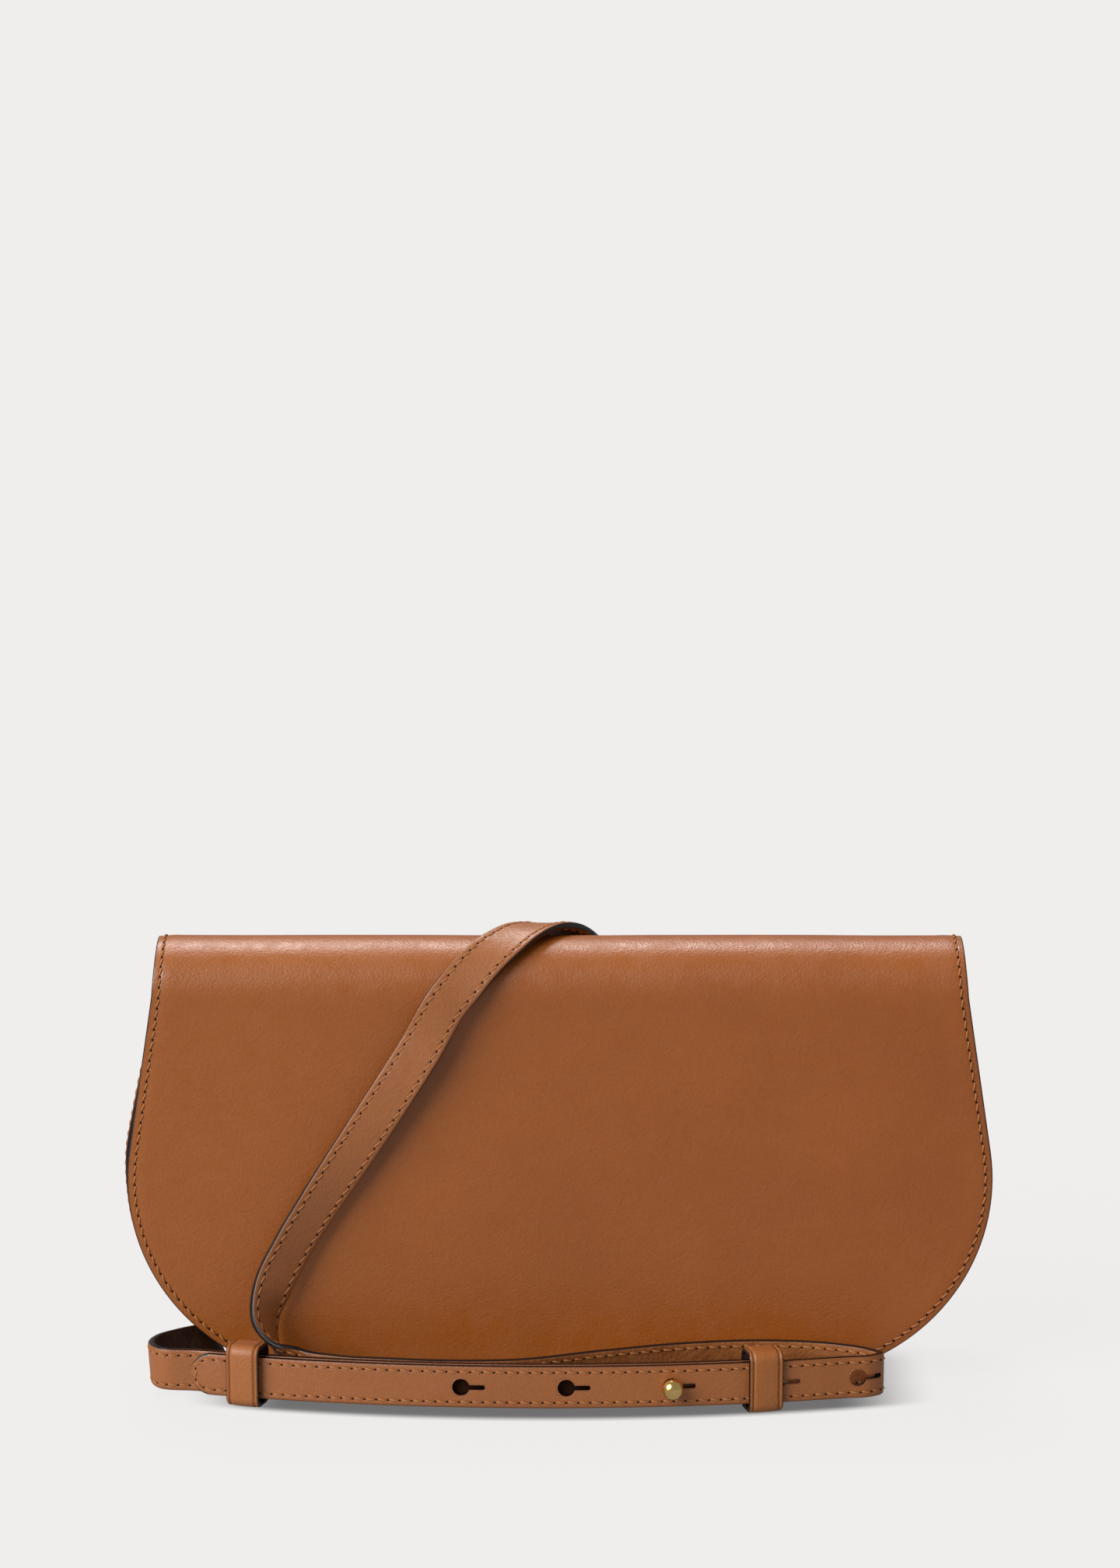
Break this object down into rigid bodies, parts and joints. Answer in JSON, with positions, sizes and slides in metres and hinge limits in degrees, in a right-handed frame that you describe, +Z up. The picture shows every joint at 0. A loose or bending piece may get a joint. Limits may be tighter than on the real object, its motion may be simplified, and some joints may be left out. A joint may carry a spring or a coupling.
{
  "type": "crossbody purse",
  "caption": "Half-round leather flap purse with a magnetic closure and an adjustable keyhole strap held by sliding keepers and a ball stud.",
  "frame": {"origin": "under the middle of the bag, on the surface it stands on", "axes": "+X to the right along the bag, +Y from the front to the back, +Z up"},
  "size_m": [0.2719, 0.0953, 0.143],
  "materials": {
    "tan_leather": "smooth satin",
    "strap_leather": "fine grain satin, dark painted edges",
    "lining": "soft matte suede",
    "board": "matte",
    "gold": "polished gold plating",
    "steel": "satin"
  },
  "bodies": {
    "purse_body": {"back_panel": "tan_leather", "front_panel": "tan_leather", "gusset": "tan_leather", "back_lining": "lining", "front_lining": "lining", "gusset_lining": "lining", "slip_pocket": "lining", "base_board": "board", "magnet_front": "gold", "magnet_washer": "steel", "tab_left": "strap_leather", "tab_right": "strap_leather", "loop_left": "strap_leather", "loop_right": "strap_leather", "rivet_left": "gold", "rivet_right": "gold", "strap_long_rear": "strap_leather"},
    "ring_left": {"ring_left": "gold"},
    "ring_right": {"ring_right": "gold"},
    "flap": {"flap_leather": "tan_leather", "flap_lining": "lining", "magnet_flap": "gold"},
    "strap": {"strap_long_front": "strap_leather", "strap_short": "strap_leather"},
    "keeper_left": {"keeper_left": "strap_leather"},
    "keeper_right": {"keeper_right": "strap_leather"},
    "stud": {"stud_head": "gold", "stud_screw": "gold"}
  },
  "joints": [
    {"name": "flap_hinge", "type": "hinge", "parent": "purse_body", "child": "flap", "pos_m": [0, 0.0175, 0.122], "axis": [-1, 0, 0], "range_deg": [0, 135]},
    {"name": "strap_lift", "type": "hinge", "parent": "purse_body", "child": "strap", "pos_m": [0, 0.0175, 0.122], "axis": [-1, 0, 0], "range_deg": [0, 135]},
    {"name": "ring_left_swing", "type": "hinge", "parent": "purse_body", "child": "ring_left", "pos_m": [-0.1193, 0.0025, 0.11958], "axis": [0, 1, 0], "range_deg": [-1.5, 1.5]},
    {"name": "ring_right_swing", "type": "hinge", "parent": "purse_body", "child": "ring_right", "pos_m": [0.1193, 0.0025, 0.11958], "axis": [0, -1, 0], "range_deg": [-1.5, 1.5]},
    {"name": "keeper_left_slide", "type": "slide", "parent": "strap", "child": "keeper_left", "axis": [0.9737, -0.2278, 0], "range_m": [-0.006, 0.012]},
    {"name": "keeper_right_slide", "type": "slide", "parent": "strap", "child": "keeper_right", "axis": [0.9871, 0.16, 0], "range_m": [-0.012, 0.008]},
    {"name": "stud_turn", "type": "hinge", "parent": "strap", "child": "stud", "pos_m": [0.034, -0.05333, 0.0096], "axis": [0.0902, -0.9959, 0], "continuous": true}
  ],
  "couplings": [
    {"joint": "strap_lift", "follows": "flap_hinge", "ratio": 1}
  ]
}
